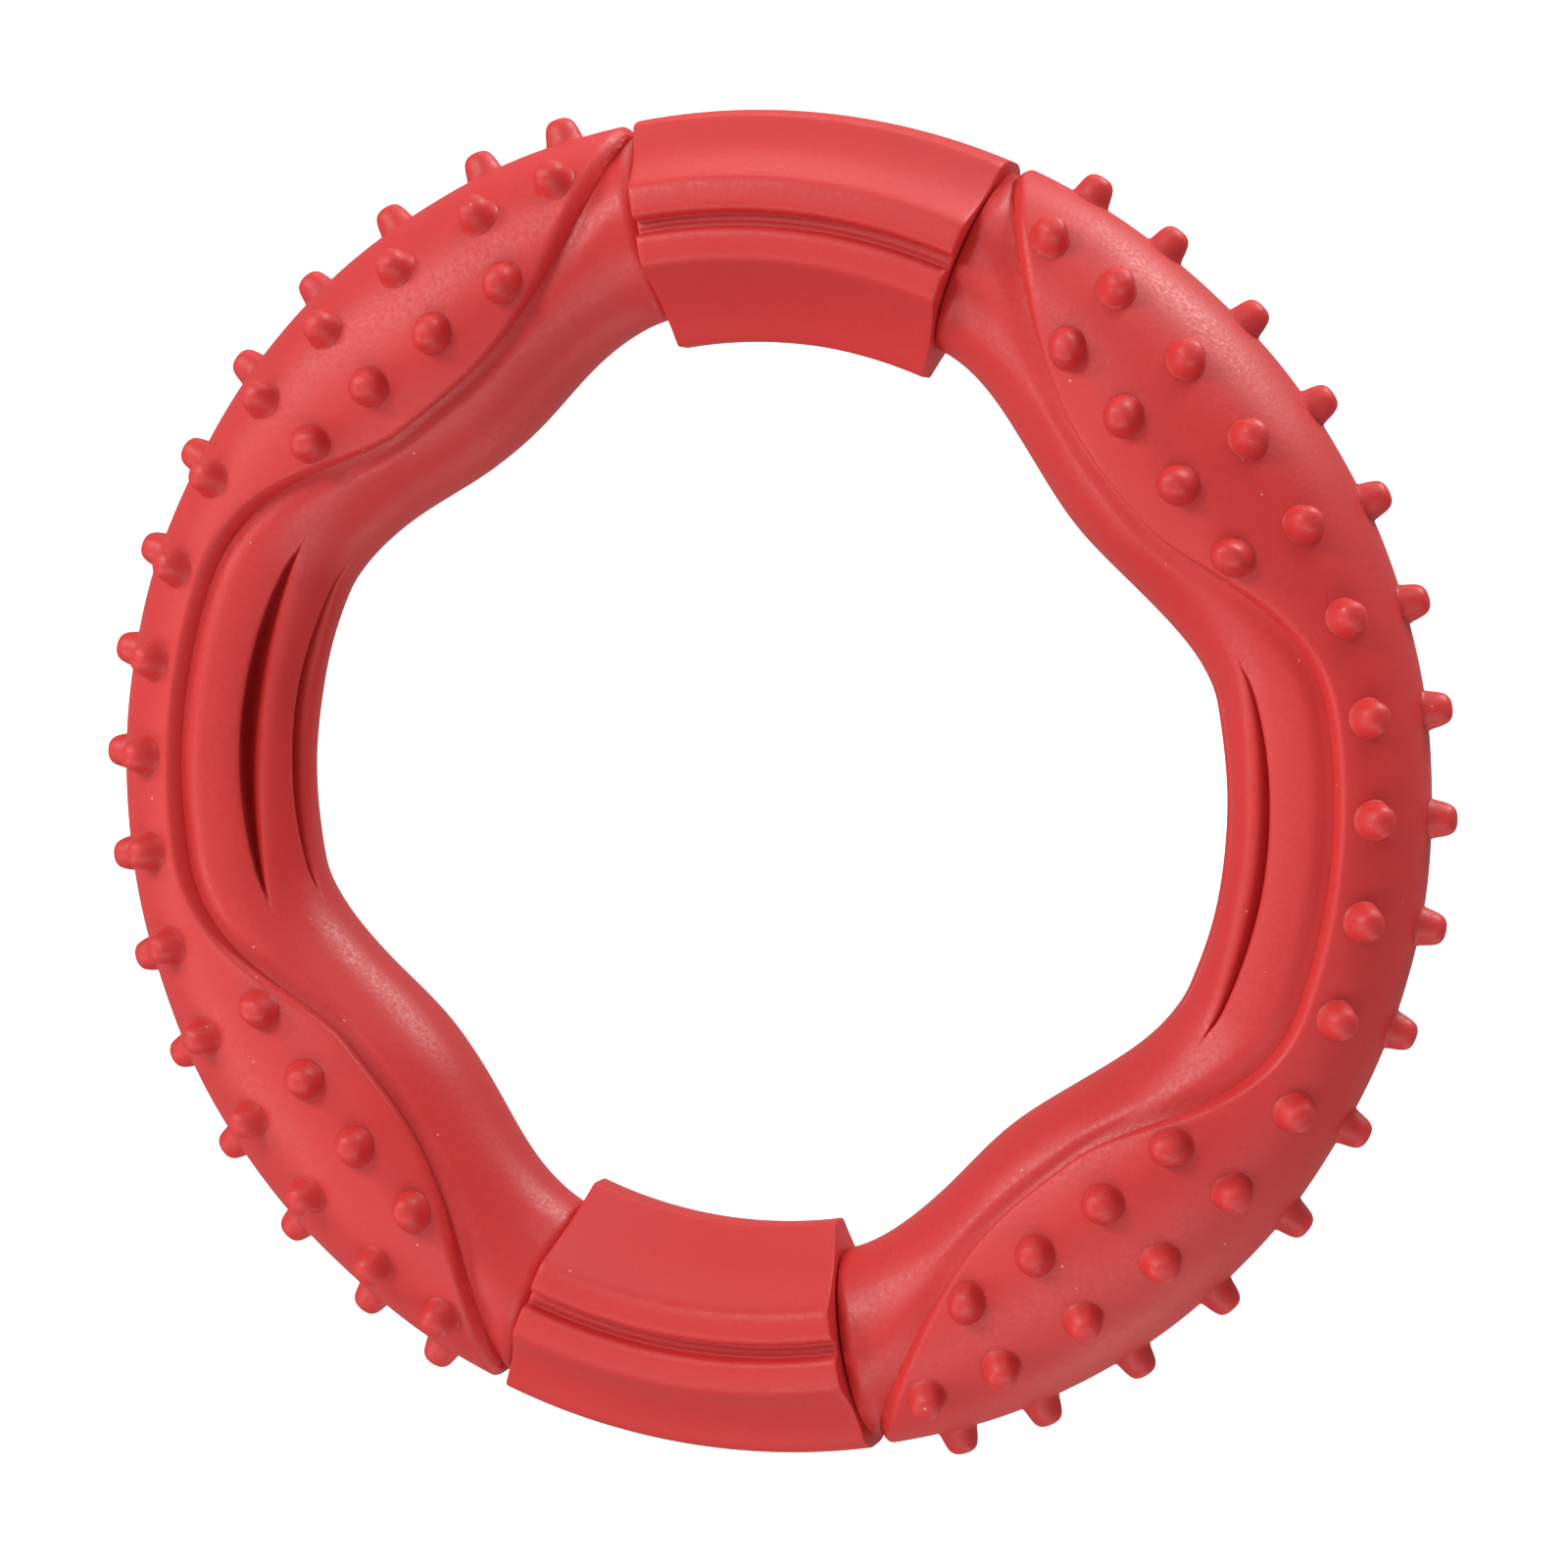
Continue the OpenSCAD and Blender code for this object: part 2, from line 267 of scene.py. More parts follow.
for k, at in enumerate(slot_rows):
    threads += [("slot", at, row) for row in profile]
    if k < SLOT_COUNT - 1:
        threads += [("between", at, share) for share in (0.25, 0.5, 0.75)]
threads += [("plain", None, (i + 1) / (PLAIN_THREADS + 1)) for i in range(PLAIN_THREADS)]
print("threads in each slot: %d, in all: %d" % (len(profile), len(threads)))

# %% Rings of points along the core
TREAD_T, SEAT_DEEP, BAND_HALF, SEAT_GAP, SEAT_STEP = 1.3, 0.9, 16.4, 0.2, 0.1
seat_end = BAND_HALF + SEAT_GAP
free_end = 90 - seat_end - SEAT_STEP
# From the long side: along the slots, close together where they end, evenly on to the band's seat
# and through it, with one ring on each side of the seat's step
quarter = np.concatenate([
    np.arange(0, 17, 1.3), [17.4, 18.2, 18.8, 19.2, 19.45], np.linspace(19.8, free_end, 41),
    90 - np.array([seat_end - SEAT_STEP, 12, 8, 4, 0])])
ring_angles = np.concatenate([s + t * quarter for s in (0, 180) for t in (-1, 1)]) % 360
ring_angles = np.unique(np.round(ring_angles, 4))
print("rings of points along the core:", len(ring_angles))


def core_over(a):
    """The core lies one tread's thickness below the treads' face, and deeper in a band's seat."""
    return -TREAD_T - np.where(90 - from_side(a) < seat_end, SEAT_DEEP, 0.0)


# %% Where each thread runs
SLOT_W, SLOT_DEEP, SLOT_HALF, SLOT_THIN, DEEP_POWER = 2.3, 6.0, 20.3, 0.3, 0.75
# The slots on the right side are a little narrower than those on the left
RIGHT_SHARE = 0.78


def slot_opening(a):
    """Share of a slot's depth at an angle, and half of its opening in mm."""
    u = np.clip(from_side(a) / SLOT_HALF, 0, 1)
    opening = SLOT_THIN + (SLOT_W - SLOT_THIN) * (1 - u * u) ** SWELL_POWER
    opening = opening * np.where(cos(a) > 0, RIGHT_SHARE, 1)
    return (1 - u * u) ** DEEP_POWER, opening / 2


def lip_round(at, side):
    """Round of the lip on one side of the slot at an angle round the section."""
    return SOFT_LIP if side * (180 - at) > 0 else CRISP_LIP


def thread_place(kind, at, row):
    """Angle round the section and height over the tread's face, along a whole thread."""
    radius = half_width(ring_angles) - TREAD_T
    deep, half = slot_opening(ring_angles)
    per_mm = 180 / np.pi / radius
    over = core_over(ring_angles)

    def edge(at, side):
        return at + side * (half + LIP_REACH * lip_round(at, side)) * per_mm

    if kind == "slot":
        side, open_share, across_share, lip_share, wall_share = row
        full = lip_round(at, side)
        lip = full * deep
        across = side * (open_share * half + across_share * (full + lip) / 2)
        down = lip_share * lip + wall_share * np.maximum(SLOT_DEEP * deep - lip, 0)
        return at + across * per_mm * radius / np.maximum(radius - down, 1), over - down
    if kind == "between":
        first, last = edge(at, 1), edge(at + SLOT_STEP, -1)
    else:
        first, last = edge(slot_rows[-1], 1), edge(slot_rows[0], -1) + 360
    return first + (last - first) * row, over


print("a slot is %.1f mm wide on the left, %.1f mm on the right" % (SLOT_W, SLOT_W * RIGHT_SHARE))

# %% Add the torus and move its points to the threads and the channel
CHANNEL_DEEP, CHANNEL_FLAT, CHANNEL_WIDE, CHANNEL_FADE = 0.7, 0.5, 2.8, 1.5


def channel(a, b):
    """Share of the channel's depth: all of it under a tread, none 2.8 mm outside its foot."""
    s = from_side(a)
    bearing = np.abs((b + 180) % 360 - 180)
    under = (s < foot_a[-1]) & (bearing < np.interp(s, foot_a, foot_b))
    outside = foot_distance(on_ring(s, bearing, 0)) - CHANNEL_FLAT
    outside = np.clip(outside / (CHANNEL_WIDE - CHANNEL_FLAT), 0, 1)
    share = np.where(under, 1, cos(90 * outside) ** 2)
    return share * np.clip((90 - s - seat_end) / CHANNEL_FADE, 0, 1)


# The torus's own radii are only a start, because every point is moved
nothing_selected()
bpy.ops.mesh.primitive_torus_add(
    major_segments=len(ring_angles), minor_segments=len(threads),
    major_radius=66 * MM, minor_radius=11 * MM)
core = start("core_body")
core_b, core_height = np.stack(
    [np.stack(thread_place(*thread), -1) for thread in threads], 1).transpose(2, 0, 1)
core_a = np.broadcast_to(ring_angles[:, None], core_b.shape)
core_height = core_height - CHANNEL_DEEP * channel(core_a, core_b)
place(core, on_ring(core_a, core_b, core_height))
edit(core)
face_outwards()
shade(core)
report(core)

# %% [markdown]
# ## The treads
# A tread is a skin of rubber, 1.3 mm thick, that wraps the outside of the core and reaches up over
# the lobes. On the real ring its edge slopes down over a good millimetre and ends in a dark crease.
# A grid is a good start: its columns run round the section and its rows run along the ring. The
# rows crowd towards the edge, where the height follows the distance to the foot line.

# %% Columns and rows of a tread, the rows close together at the edge
COLUMNS, ROWS = 280, 76
EDGE_WIDTH, EDGE_POWER = 1.2, 0.85
EDGE_ROWS = np.array([0, 0.05, 0.12, 0.21, 0.32, 0.45, 0.6, 0.77, 0.94, 1.15, 1.6]) * EDGE_WIDTH
# Where half of a tread is narrower than this many edges, the edge rows are squeezed together
EDGES_WIDE = 2.5
# The foot is sunk a little into the core, so no gap shows under it, and the inner skin a bit more
FOOT_SUNK = 0.05
INNER_SUNK = 2.5 * FOOT_SUNK
columns = np.interp(np.linspace(0, along[-1], COLUMNS), along, foot_a)
print("a column every %.2f mm" % (along[-1] / MM / COLUMNS))


def tread_rows(a):
    """Angles round the section from one edge of the tread to the other."""
    per_degree = half_width(a) * np.pi / 180
    length = np.interp(a, foot_a, foot_b) * per_degree
    squeeze = np.minimum(1, length / (EDGES_WIDE * EDGE_ROWS[-1]))
    outer = EDGE_ROWS[:, None] * squeeze
    inner_count = ROWS // 2 - len(EDGE_ROWS)
    t = np.arange(1, inner_count + 1)[:, None] / (inner_count + 0.5)
    inner = outer[-1] + (length - outer[-1]) * t
    from_edge = np.concatenate([outer, inner])
    b = (length - from_edge) / per_degree
    return np.concatenate([-b, b[::-1]])


tread_b = tread_rows(columns)
tread_a = np.broadcast_to(columns, tread_b.shape)
from_foot = np.minimum(foot_distance(on_ring(tread_a, tread_b, 0)) / EDGE_WIDTH, 1)
from_foot[[0, -1]] = 0
from_foot[:, [0, -1]] = 0
edge_tall = TREAD_T + CHANNEL_DEEP
drop = edge_tall * (1 - sin(90 * from_foot) ** EDGE_POWER) + FOOT_SUNK * (1 - from_foot)
print("deepest drop at the edge: %.2f mm" % drop.max())

# %% Add the grid, fold it over the core and close its inner side
nothing_selected()
last_column, last_row = COLUMNS - 1, len(tread_b) - 1
bpy.ops.mesh.primitive_grid_add(x_subdivisions=last_column, y_subdivisions=last_row, size=2)
tread = start("tread_skin")
grid = points_of(tread)
column_of = np.rint((grid[:, 0] + 1) / 2 * last_column).astype(int)
row_of = np.rint((grid[:, 1] + 1) / 2 * last_row).astype(int)
outer_skin = on_ring(tread_a, tread_b, -drop)[row_of, column_of]
inner_skin = on_ring(tread_a, tread_b, -edge_tall - INNER_SUNK)[row_of, column_of]
place(tread, outer_skin)
edit(tread)
bpy.ops.mesh.select_all(action="SELECT")
bpy.ops.mesh.duplicate()
bpy.ops.mesh.flip_normals()
bpy.ops.object.mode_set(mode="OBJECT")
place(tread, np.concatenate([outer_skin, inner_skin]))
edit(tread, "EDGE")
bpy.ops.mesh.select_all(action="DESELECT")
bpy.ops.mesh.select_non_manifold()
bpy.ops.mesh.bridge_edge_loops()
face_outwards()
shade(tread, degrees=60)
report(tread)

# %% [markdown]
# ## The nubs
# Each nub is a short round peg with a flared foot and a soft dome. It is modelled once: a circle is
# extruded upwards ring by ring, each ring scaled to the peg's outline, and the last ring is filled.
# Its copies are wrapped on the tread: a nub's own x and y become steps along the ring and round the
# section, so its foot lies on the curved rubber with no gap.

# %% Model one nub
NUB_SIDES = 20
# Outline of a nub: radius and height over the tread in mm
NUB_OUTLINE = [
    (2.55, -0.8), (2.52, -0.06), (2.36, 0.1), (2.26, 0.3), (2.17, 0.6), (2.08, 1.0), (1.98, 1.4),
    (1.86, 1.8), (1.7, 2.2), (1.46, 2.55), (1.12, 2.8), (0.75, 2.93), (0.38, 2.98),
]
nothing_selected()
bpy.ops.mesh.primitive_circle_add(
    vertices=NUB_SIDES, radius=NUB_OUTLINE[0][0], location=(0, 0, NUB_OUTLINE[0][1]),
    fill_type="NOTHING")
nub = start("nub")
bpy.ops.object.transform_apply(location=True)
edit(nub)
bpy.ops.mesh.select_all(action="SELECT")
for (r0, h0), (r1, h1) in zip(NUB_OUTLINE, NUB_OUTLINE[1:]):
    bpy.ops.mesh.extrude_edges_move(TRANSFORM_OT_translate={"value": (0, 0, h1 - h0)})
    bpy.ops.transform.resize(value=(r1 / r0, r1 / r0, 1), center_override=(0, 0, h1))
bpy.ops.mesh.edge_face_add()
bpy.ops.mesh.poke()
face_outwards()
nub_shape = points_of(nub)
print("one nub: %d faces, %.2f mm tall" % (len(nub.data.polygons), nub_shape[:, 2].max()))

# %% Wrap the copies on the tread, row by row
# Columns of nubs on half a tread: seven evenly spaced and one a little closer at the end
NUB_STEP, EVEN_COLUMNS, END_STEP = 9.04, 7, 7.65
# Rows in degrees round the section, and how far a tread has to reach past a row to carry it
ROW_TWO, ROW_THREE, ROW_CLEAR = 55.6, 91.5, 10.0
half_columns = [(k + 0.5) * NUB_STEP for k in range(EVEN_COLUMNS)]
half_columns.append(half_columns[-1] + END_STEP)


def wrapped(a, b):
    """Points of a nub whose foot stands at the angles a and b."""
    w = half_width(a)
    round_section = math.hypot(w * sin(b), FLAT * w * cos(b))
    round_ring = OUT_R - w + w * cos(b)
    da = np.degrees(nub_shape[:, 0] / round_ring)
    db = np.degrees(nub_shape[:, 1] / round_section)
    # Above the foot the steps shrink, so the peg keeps its width where the section fans out
    fan = round_section / (round_section + np.maximum(nub_shape[:, 2], 0))
    return on_ring(a + da, b + db * fan, nub_shape[:, 2])


nub_copies = []
for side in (-1, 1):
    for a in half_columns:
        room = float(reach(a)) - ROW_CLEAR
        rows = [row for row in (ROW_TWO, ROW_THREE) if row < room]
        for b in [0] + [way * row for row in rows for way in (-1, 1)]:
            copy = nub.copy()
            copy.data = nub.data.copy()
            bpy.context.collection.objects.link(copy)
            place(copy, wrapped(side * a, b))
            nub_copies.append(copy)
print("nubs on a tread:", len(nub_copies))

# %% Join the nubs to their tread and turn a copy of it round the axis
def half_turn(piece, name):
    """Copy of a piece with its own mesh, turned half round the ring's axis."""
    copy = piece.copy()
    copy.data = piece.data.copy()
    copy.name = name
    bpy.context.collection.objects.link(copy)
    copy.data.transform(Matrix.Rotation(math.pi, 4, "Z"))
    copy.data.update()
    return copy


only(nub_copies[0])
for copy in nub_copies:
    copy.select_set(True)
bpy.ops.object.join()
shade(nub_copies[0])
only(tread)
nub_copies[0].select_set(True)
bpy.ops.object.join()
bpy.data.objects.remove(nub)
right_tread = tread
right_tread.name = "right_tread_skin"
left_tread = half_turn(right_tread, "left_tread_skin")
report(right_tread)
report(left_tread)

# %% [markdown]
# ## The bands
# A band is a collar with flat rails in front and behind, a round-lipped groove along each rail with
# a faint rib on its floor, and hollow facets between the rails and the lands. The groove's soft lips
# catch a thin line of light and its floor stays dark. The section is the same from end to end, so
# the section is drawn once, as a circle whose points are moved to the outline, and spun round the
# ring's axis. A neck-shaped hole is then cut through it for the core.

# %% Sizes of a band's section, in millimetres
INNER_PROUD, RAIL_PROUD = 2.3, 1.27
OUTER_LAND, INNER_LAND, OUTER_ROUND_H, OUTER_ROUND_IN = 2.7, 2.2, 2.9, 0.7
RAIL_OUT, RAIL_IN, RAIL_ROUND, RAIL_CROWN, BROW_SHARE = 70.75, 60.65, 0.8, 0.3, 0.7
GROOVE_OUT, GROOVE_IN, GROOVE_LIP, GROOVE_DEEP, GROOVE_DRAW = 66.6, 64.6, 1.2, 1.6, 0.2
RIB_W, RIB_H, RIB_SLOPE = 0.4, 0.08, 0.1
OUTER_HOLLOW, INNER_HOLLOW = 0.9, 0.8
band_out, band_in = OUT_R, OUT_R - SIDE_W - INNER_PROUD
band_mid = (GROOVE_OUT + GROOVE_IN) / 2
rail_h = FLAT * SIDE_W / 2 + RAIL_PROUD
floor_h = rail_h - GROOVE_DEEP
print("a band goes from radius %.1f to %.1f mm" % (band_in, band_out))


# %% Outline of the section, as radius and height over the middle plane
def softened(corners, steps=4):
    """Outline with each corner (radius, height, round) replaced by a short curve."""
    out = []
    for i, (x, y, r) in enumerate(corners):
        p = np.array([x, y])
        if i in (0, len(corners) - 1) or r == 0:
            out.append(p)
            continue
        before, after = np.array(corners[i - 1][:2]) - p, np.array(corners[i + 1][:2]) - p
        q0 = p + before * min(r / np.linalg.norm(before), 0.5)
        q1 = p + after * min(r / np.linalg.norm(after), 0.5)
        for t in np.linspace(0, 1, steps + 1):
            out.append((1 - t) ** 2 * q0 + 2 * t * (1 - t) * p + t * t * q1)
    return out


def facet(p, q, hollow, count=8):
    """Hollow line between two corners."""
    p, q = np.array(p), np.array(q)
    d = q - p
    n = np.array([d[1], -d[0]]) / np.linalg.norm(d)
    shares = np.linspace(0, 1, count + 2)[1:-1]
    return [(*(p + u * d - n * hollow * math.sin(math.pi * u)), 0) for u in shares]


outer_foot = (band_out - OUTER_ROUND_IN, OUTER_LAND + OUTER_ROUND_H)
outer_brow = (RAIL_OUT, rail_h - RAIL_ROUND * BROW_SHARE)
inner_brow = (RAIL_IN, rail_h - RAIL_ROUND * BROW_SHARE)
edge_h = rail_h + RAIL_CROWN
rib_foot, rib_top = RIB_W / 2 + RIB_SLOPE, RIB_W / 2 - RIB_SLOPE
# Corners of the upper half from the outside inwards: radius, height and reach of the round
half = [(band_out, 0, 0), (band_out, OUTER_LAND, 1.4), (*outer_foot, 1.6)]
half += facet(outer_foot, outer_brow, OUTER_HOLLOW)
half += [
    (*outer_brow, 0.7), (RAIL_OUT - RAIL_ROUND, rail_h, 0.9),
    (GROOVE_OUT, edge_h, GROOVE_LIP), (GROOVE_OUT - GROOVE_DRAW, floor_h, 0.3),
    (band_mid + rib_foot, floor_h, 0.2), (band_mid + rib_top, floor_h + RIB_H, 0.2),
    (band_mid - rib_top, floor_h + RIB_H, 0.2), (band_mid - rib_foot, floor_h, 0.2),
    (GROOVE_IN + GROOVE_DRAW, floor_h, 0.3), (GROOVE_IN, edge_h, GROOVE_LIP),
    (RAIL_IN + RAIL_ROUND, rail_h, 0.9), (*inner_brow, 0.7),
]
half += facet(inner_brow, (band_in, INNER_LAND), INNER_HOLLOW)
half += [(band_in, INNER_LAND, 0.5), (band_in, 0, 0)]
upper = softened(half)
outline = np.array(upper + [p * (1, -1) for p in upper[-2:0:-1]])
print("points in a band's outline:", len(outline))

# %% Spin the section round the ring's axis
SPIN_STEPS = 48
nothing_selected()
bpy.ops.mesh.primitive_circle_add(vertices=len(outline), radius=0.01, fill_type="NGON")
band = start("band_collar")
first = 90 + BAND_HALF
section = [outline[:, 0] * cos(first), outline[:, 0] * sin(first), outline[:, 1] + MID_Z]
place(band, np.stack(section, -1) * MM)
edit(band)
bpy.ops.mesh.select_all(action="SELECT")
bpy.ops.mesh.spin(
    steps=SPIN_STEPS, angle=math.radians(2 * BAND_HALF), center=(0, 0, 0), axis=(0, 0, 1))
bpy.ops.mesh.select_all(action="SELECT")
bpy.ops.mesh.remove_doubles(threshold=0.01 * MM)
face_outwards()
spun = points_of(band)
spun_at = np.degrees(np.arctan2(spun[:, 1], spun[:, 0]))
print("spun from %.2f to %.2f degrees" % (spun_at[0], spun_at[-1]))

# %% Round the ends' edges
END_ROUND, END_NEAR = 0.7, 0.02
at_end = np.abs(np.abs(spun_at - 90) - BAND_HALF) < END_NEAR
edit(band, "EDGE")
bpy.ops.mesh.select_all(action="DESELECT")
bpy.ops.object.mode_set(mode="OBJECT")
for e in band.data.edges:
    e.select = bool(at_end[e.vertices[0]] and at_end[e.vertices[1]])
print("edges to round:", sum(e.select for e in band.data.edges))
bpy.ops.object.mode_set(mode="EDIT")
bpy.ops.mesh.bevel(offset=END_ROUND * MM, segments=3, affect="EDGES", clamp_overlap=True)
nothing_selected()

# %% Cut the hole for the neck and copy the band to the other side
FIT_GAP = 0.1
neck_w = SIDE_W / 2 - TREAD_T - SEAT_DEEP + FIT_GAP
neck_h = FLAT * SIDE_W / 2 - TREAD_T - SEAT_DEEP + FIT_GAP
bpy.ops.mesh.primitive_torus_add(
    major_segments=256, minor_segments=64,
    major_radius=(OUT_R - SIDE_W / 2) * MM, minor_radius=neck_w * MM)
neck = start("neck_cutter")
flatten = Matrix.Diagonal((1, 1, neck_h / neck_w, 1))
neck.data.transform(Matrix.Translation((0, 0, MID_Z * MM)) @ flatten)
cut = band.modifiers.new("neck hole", "BOOLEAN")
cut.operation = "DIFFERENCE"
cut.solver = "MANIFOLD"
cut.object = neck
only(band)
bpy.ops.object.modifier_apply(modifier=cut.name)
bpy.data.objects.remove(neck)
shade(band, degrees=32)
top_band = band
top_band.name = "top_band_collar"
bottom_band = half_turn(top_band, "bottom_band_collar")
report(top_band)
report(bottom_band)

# %% [markdown]
# ## As it lies
# A soft ring never lies quite round. The photographed one is drawn in by two thirds of a millimetre
# across one diagonal and out across the other, and its rubber has crept a little along the ring.
# Every piece gets the same shift, so the pieces still meet.

# %% Draw the ring a little out of round
DRAWN_IN, CREPT = (0.1, -0.66), (-0.4, -0.33)


def out_of_round(points):
    """Shifts points in metres outwards and along the ring by waves that go twice round it."""
    a = np.degrees(np.arctan2(points[:, 1], points[:, 0]))
    outwards = DRAWN_IN[0] * cos(2 * a) + DRAWN_IN[1] * sin(2 * a)
    along_ring = CREPT[0] * cos(2 * a) + CREPT[1] * sin(2 * a)
    way_out = np.stack([cos(a), sin(a), 0 * a], -1)
    way_along = np.stack([-sin(a), cos(a), 0 * a], -1)
    return points + (outwards[:, None] * way_out + along_ring[:, None] * way_along) * MM


for piece in (core, left_tread, right_tread, top_band, bottom_band):
    place(piece, out_of_round(points_of(piece)))
print("moved at most %.2f mm" % (math.hypot(*DRAWN_IN) + math.hypot(*CREPT)))

# %% [markdown]
# ## Rubber
# The ring is natural rubber with a red pigment, pressed in a heated mould whose steel was finely
# blasted. That gives the eye a satin skin: broad soft highlights, a fine grain, a few pale specks
# of dust, and red that deepens in every crease because rubber lets a little light in and passes it
# on tinted.

# %% Colours and a small node function
def linear(hex_colour):
    """sRGB hex to the linear colour that the shader works in."""
    parts = [int(hex_colour[i:i + 2], 16) / 255 for i in (1, 3, 5)]
    return tuple(c / 12.92 if c <= 0.04045 else ((c + 0.055) / 1.055) ** 2.4 for c in parts) + (1.0,)


def add(tree, kind, settings=(), **links):
    """Adds a node; `settings` are its own fields and sockets, and `links` feed its sockets."""
    made = tree.nodes.new(kind)
    for key, value in dict(settings).items():
        if isinstance(key, str) and hasattr(made, key):
            setattr(made, key, value)
        else:
            made.inputs[key].default_value = value
    for key, source in links.items():
        target = made.inputs[int(key[1:])] if key[0] == "_" else made.inputs[key.replace("_", " ")]
        tree.links.new(source, target)
    return made


print("pure red in linear light:", linear("#ff0000")[:3])

# %% The rubber, in three close shades
# The blasted grain of the real skin is about 0.1 mm; it is drawn at 0.5 mm, or it wouldn't show
PATCH, SPECK_STEP, GRAIN = 28 * MM, 3.2 * MM, 0.5 * MM
# Radius of a speck in steps, how bright a place's random colour has to be to get one, and how pale
# the speck is; then how far the grain makes the roughness vary
SPECK_R, SPECK_RARE, SPECK_PALE, ROUGH_SPREAD = 0.05, 0.62, 0.35, 0.08


def moulded_rubber(name, base, deep, roughness):
    """Satin natural rubber: two close reds in slow patches, a blasted grain and a little dust."""
    material = bpy.data.materials.new(name)
    material.use_nodes = True
    tree = material.node_tree
    shader = tree.nodes["Principled BSDF"]
    place_on = add(tree, "ShaderNodeTexCoord").outputs["Object"]
    patches = add(tree, "ShaderNodeTexNoise", {"Scale": 1 / PATCH, "Detail": 3.0}, Vector=place_on)
    reds = add(tree, "ShaderNodeMix", {"data_type": "RGBA", 6: linear(deep), 7: linear(base)},
               _0=patches.outputs["Fac"])
    # Specks of dust and rubber crumbs, 0.3 mm wide and some millimetres apart
    specks = add(tree, "ShaderNodeTexVoronoi", {"Scale": 1 / SPECK_STEP}, Vector=place_on)
    near = add(tree, "ShaderNodeMath", {"operation": "LESS_THAN", 1: SPECK_R},
               _0=specks.outputs["Distance"])
    some = add(tree, "ShaderNodeMath", {"operation": "GREATER_THAN", 1: SPECK_RARE},
               _0=specks.outputs["Color"])
    dust = add(tree, "ShaderNodeMath", {"operation": "MULTIPLY"},
               _0=near.outputs[0], _1=some.outputs[0])
    dusted = add(tree, "ShaderNodeMath", {"operation": "MULTIPLY", 1: SPECK_PALE},
                 _0=dust.outputs[0])
    colour = add(tree, "ShaderNodeMix", {"data_type": "RGBA", 7: linear("#f2c4bc")},
                 _0=dusted.outputs[0], _6=reds.outputs[2])
    tree.links.new(colour.outputs[2], shader.inputs["Base Color"])
    grain = add(tree, "ShaderNodeTexNoise", {"Scale": 1 / GRAIN, "Detail": 2.0}, Vector=place_on)
    rough = add(tree, "ShaderNodeMapRange", {
        "From Min": 0.3, "From Max": 0.7,
        "To Min": roughness - ROUGH_SPREAD, "To Max": roughness + ROUGH_SPREAD,
    }, Value=grain.outputs["Fac"])
    tree.links.new(rough.outputs[0], shader.inputs["Roughness"])
    bump = add(tree, "ShaderNodeBump", {"Strength": 0.4, "Distance": 0.08 * MM},
               Height=grain.outputs["Fac"])
    tree.links.new(bump.outputs["Normal"], shader.inputs["Normal"])
    shader.inputs["IOR"].default_value = 1.5
    # Red light goes nearly 2 mm into the rubber, green and blue much less
    shader.inputs["Subsurface Weight"].default_value = 0.2
    shader.inputs["Subsurface Radius"].default_value = (0.0018, 0.0004, 0.0003)
    shader.inputs["Subsurface Scale"].default_value = 1.0
    return material


rubber = {
    "core_rubber": moulded_rubber("core natural rubber", "#cb302e", "#c0292a", 0.45),
    "tread_rubber": moulded_rubber("tread natural rubber", "#ce312e", "#c22a2b", 0.5),
    "band_rubber": moulded_rubber("band natural rubber", "#cd312e", "#c22a2b", 0.5),
}
print("materials:", sorted(rubber))

# %% Each piece takes its rubber, stands for its CAD node and rides with the ring
pieces = [
    (core, "core_ring", "core_rubber"),
    (left_tread, "left_tread", "tread_rubber"),
    (right_tread, "right_tread", "tread_rubber"),
    (top_band, "top_band", "band_rubber"),
    (bottom_band, "bottom_band", "band_rubber"),
]
for piece, node, finish in pieces:
    piece.data.materials.clear()
    piece.data.materials.append(rubber[finish])
    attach(piece, "root")
    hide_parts(node)
    for slot in nodes[node].material_slots:
        slot.material = rubber[finish]
    print("%s stands for %s, in %s" % (piece.name, node, finish))

# %% [markdown]
# ## Camera
# The photograph looks almost straight down the ring's axis, from a little to the right and above,
# with a long lens that hardly shows perspective.

# %% Camera at the photograph's angle
YAW, PITCH, ROLL, DISTANCE = 13.56, 4.26, 6.27, 0.58077
# Picture width, focal length and optical centre, all in the photograph's pixels
PICTURE, FOCAL, CENTRE_X, CENTRE_Y = 1600, 5017.84, 776.50, 799.65
SENSOR = 36
forward = Vector((sin(YAW) * cos(PITCH), sin(PITCH), cos(YAW) * cos(PITCH)))
right = Vector((0, 1, 0)).cross(forward).normalized()
up = forward.cross(right)
camera_x = cos(ROLL) * right + sin(ROLL) * up
camera_y = -sin(ROLL) * right + cos(ROLL) * up
lens_data = bpy.data.cameras.new("studio lens")
lens_data.sensor_width = SENSOR
lens_data.lens = FOCAL / PICTURE * SENSOR
lens_data.shift_x = (PICTURE / 2 - CENTRE_X) / PICTURE
lens_data.shift_y = (CENTRE_Y - PICTURE / 2) / PICTURE
lens_data.clip_start, lens_data.clip_end = 0.01, 20
camera = bpy.data.objects.new("studio camera", lens_data)
bpy.context.collection.objects.link(camera)
turn = Matrix((camera_x, camera_y, forward)).transposed().to_4x4()
camera.matrix_world = Matrix.Translation(Vector((0, 0, MID_Z * MM)) + DISTANCE * forward) @ turn
bpy.context.scene.camera = camera
print("camera %.0f mm away, lens %.0f mm" % (DISTANCE / MM, lens_data.lens))

# %% [markdown]
# ## Floor and light
# The photograph looks like one taken on a lit white table: the paper is pure white, no shadow lies
# on it, and light reaches the ring's edges from below. So the floor glows evenly and lets the lamps'
# light through. A soft key light stands at the upper left, weaker ones stand round the ring, and low
# lamps, a little below the floor, put the long gloss on the edges at the upper right.

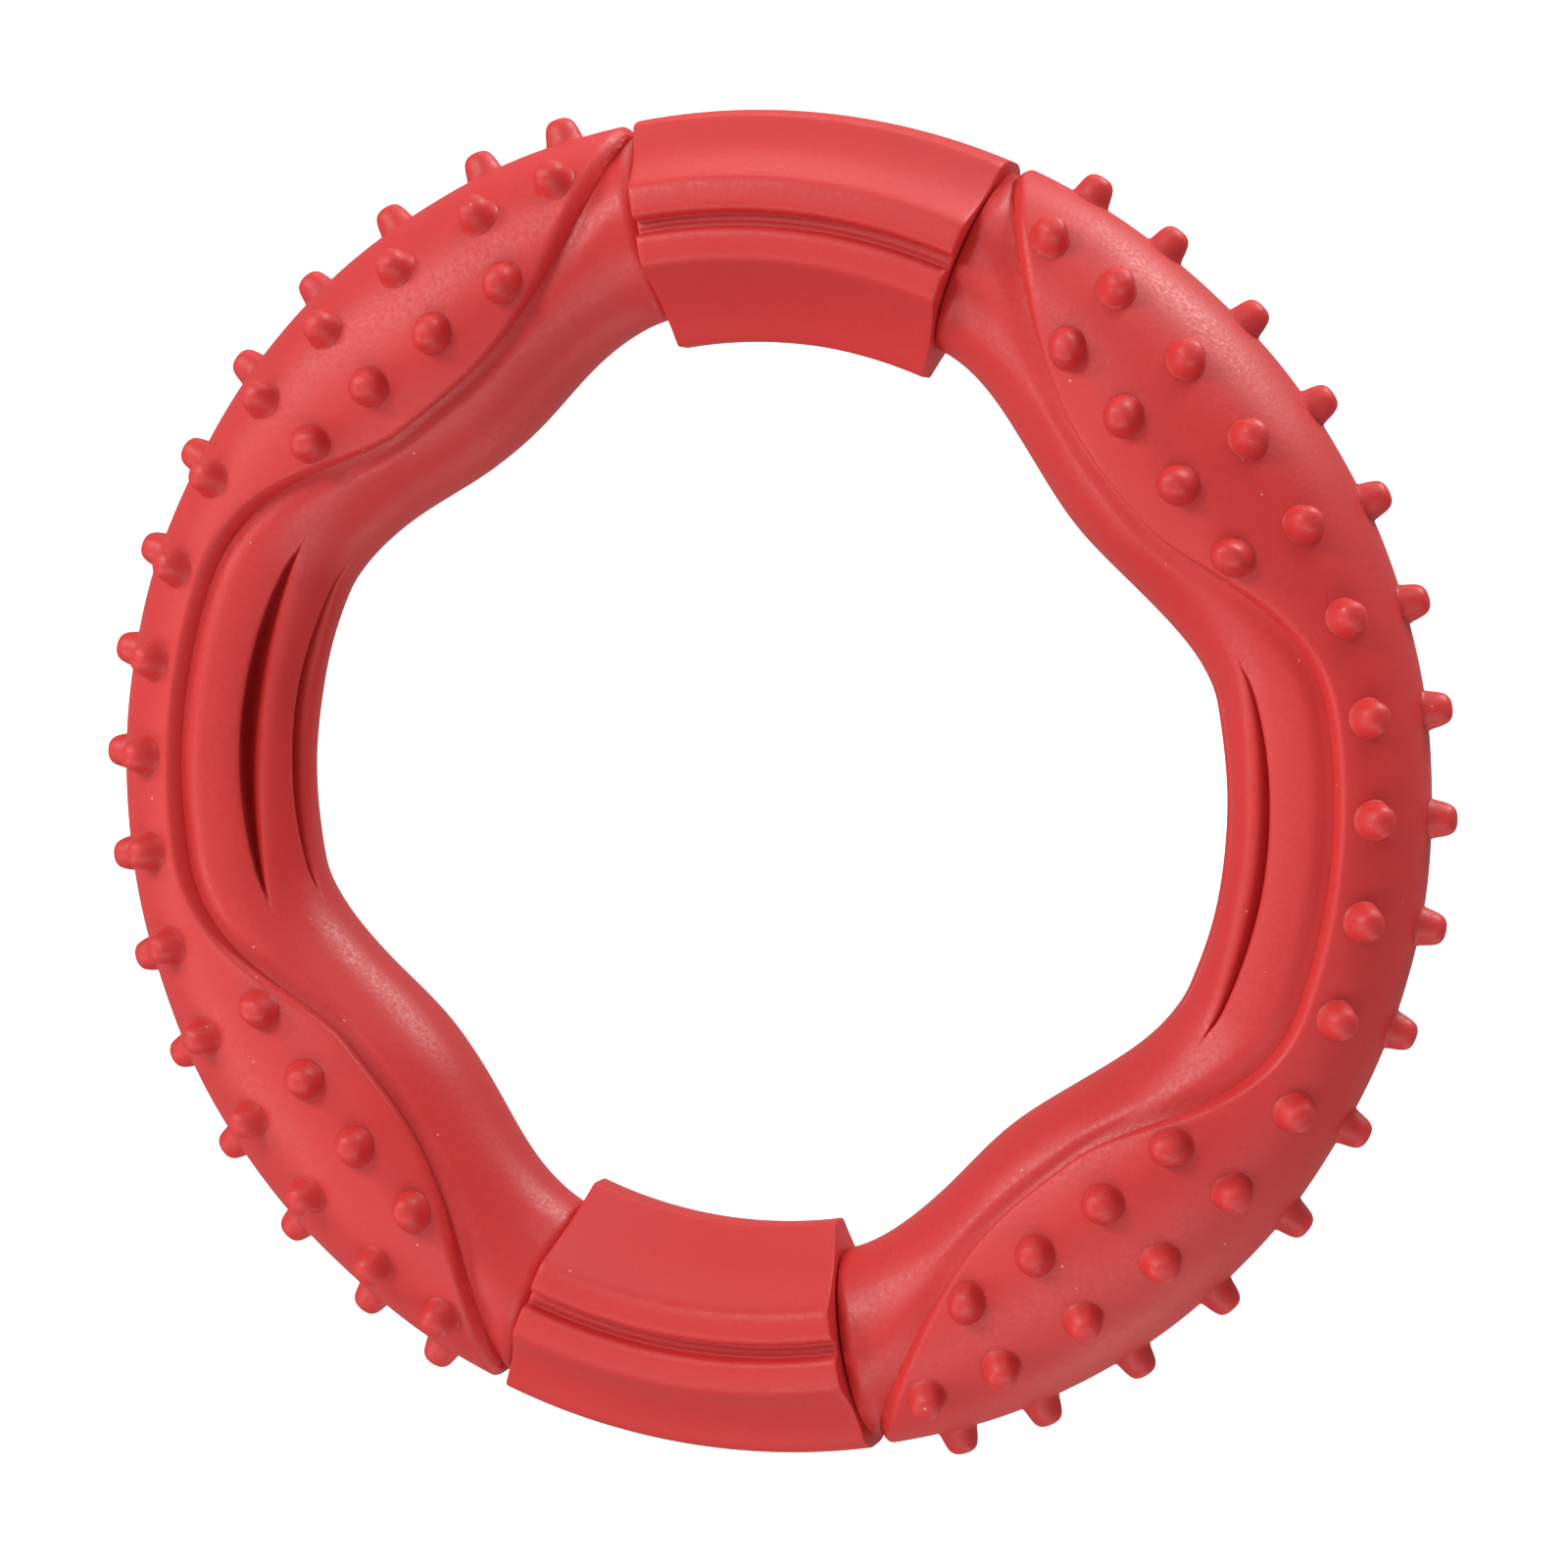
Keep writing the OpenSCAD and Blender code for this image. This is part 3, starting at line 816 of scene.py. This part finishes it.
# %% White floor
GLOW = 0.95
bpy.ops.mesh.primitive_plane_add(size=4, location=(0, 0, 0))
floor = start("floor")
white = bpy.data.materials.new("white paper")
white.use_nodes = True
paper = white.node_tree.nodes["Principled BSDF"]
paper.inputs["Base Color"].default_value = (0.9, 0.9, 0.9, 1)
paper.inputs["Roughness"].default_value = 0.9
paper.inputs["Emission Color"].default_value = (1, 1, 1, 1)
paper.inputs["Emission Strength"].default_value = GLOW
floor.data.materials.append(white)
# The paper shows as pure white, throws no light back up and takes no shadow
floor.visible_diffuse = False
floor.visible_glossy = False
floor.visible_shadow = False
print("floor glows at", GLOW)

# %% Soft lights and an even surround
LIGHT_AWAY, SURROUND = 1.2, 0.34
# Name, angle round the ring, height angle, width in metres and power in watts
TENT = [
    ("key light", 135, 50, 0.3, 5.2), ("left light", 155, 28, 0.3, 3.8),
    ("front left light", 210, 28, 0.5, 3.4), ("front light", 270, 50, 0.5, 3.3),
    ("front right light", 310, 35, 0.5, 2.4), ("low light behind", 64, -13, 0.4, 9.6),
    ("light behind", 80, 25, 0.4, 1.8), ("low light behind left", 105, -14, 0.5, 2.0),
    ("low light in front", 300, -14, 0.5, 1.8),
]


def softbox(name, bearing, lift, width, watts):
    """Square area light 1.2 m away that looks at the middle of the floor."""
    data = bpy.data.lights.new(name, "AREA")
    data.size = width
    data.energy = watts
    light = bpy.data.objects.new(name, data)
    bpy.context.collection.objects.link(light)
    away = Vector((cos(bearing) * cos(lift), sin(bearing) * cos(lift), sin(lift))).normalized()
    turned = away.to_track_quat("Z", "Y").to_matrix().to_4x4()
    light.matrix_world = Matrix.Translation(away * LIGHT_AWAY) @ turned


for lamp in TENT:
    softbox(*lamp)
print("soft lights:", len(TENT))
world = bpy.data.worlds.new("even surround")
world.use_nodes = True
world.node_tree.nodes["Background"].inputs["Color"].default_value = (1, 1, 1, 1)
world.node_tree.nodes["Background"].inputs["Strength"].default_value = SURROUND
bpy.context.scene.world = world
bpy.context.scene.view_settings.view_transform = "Standard"
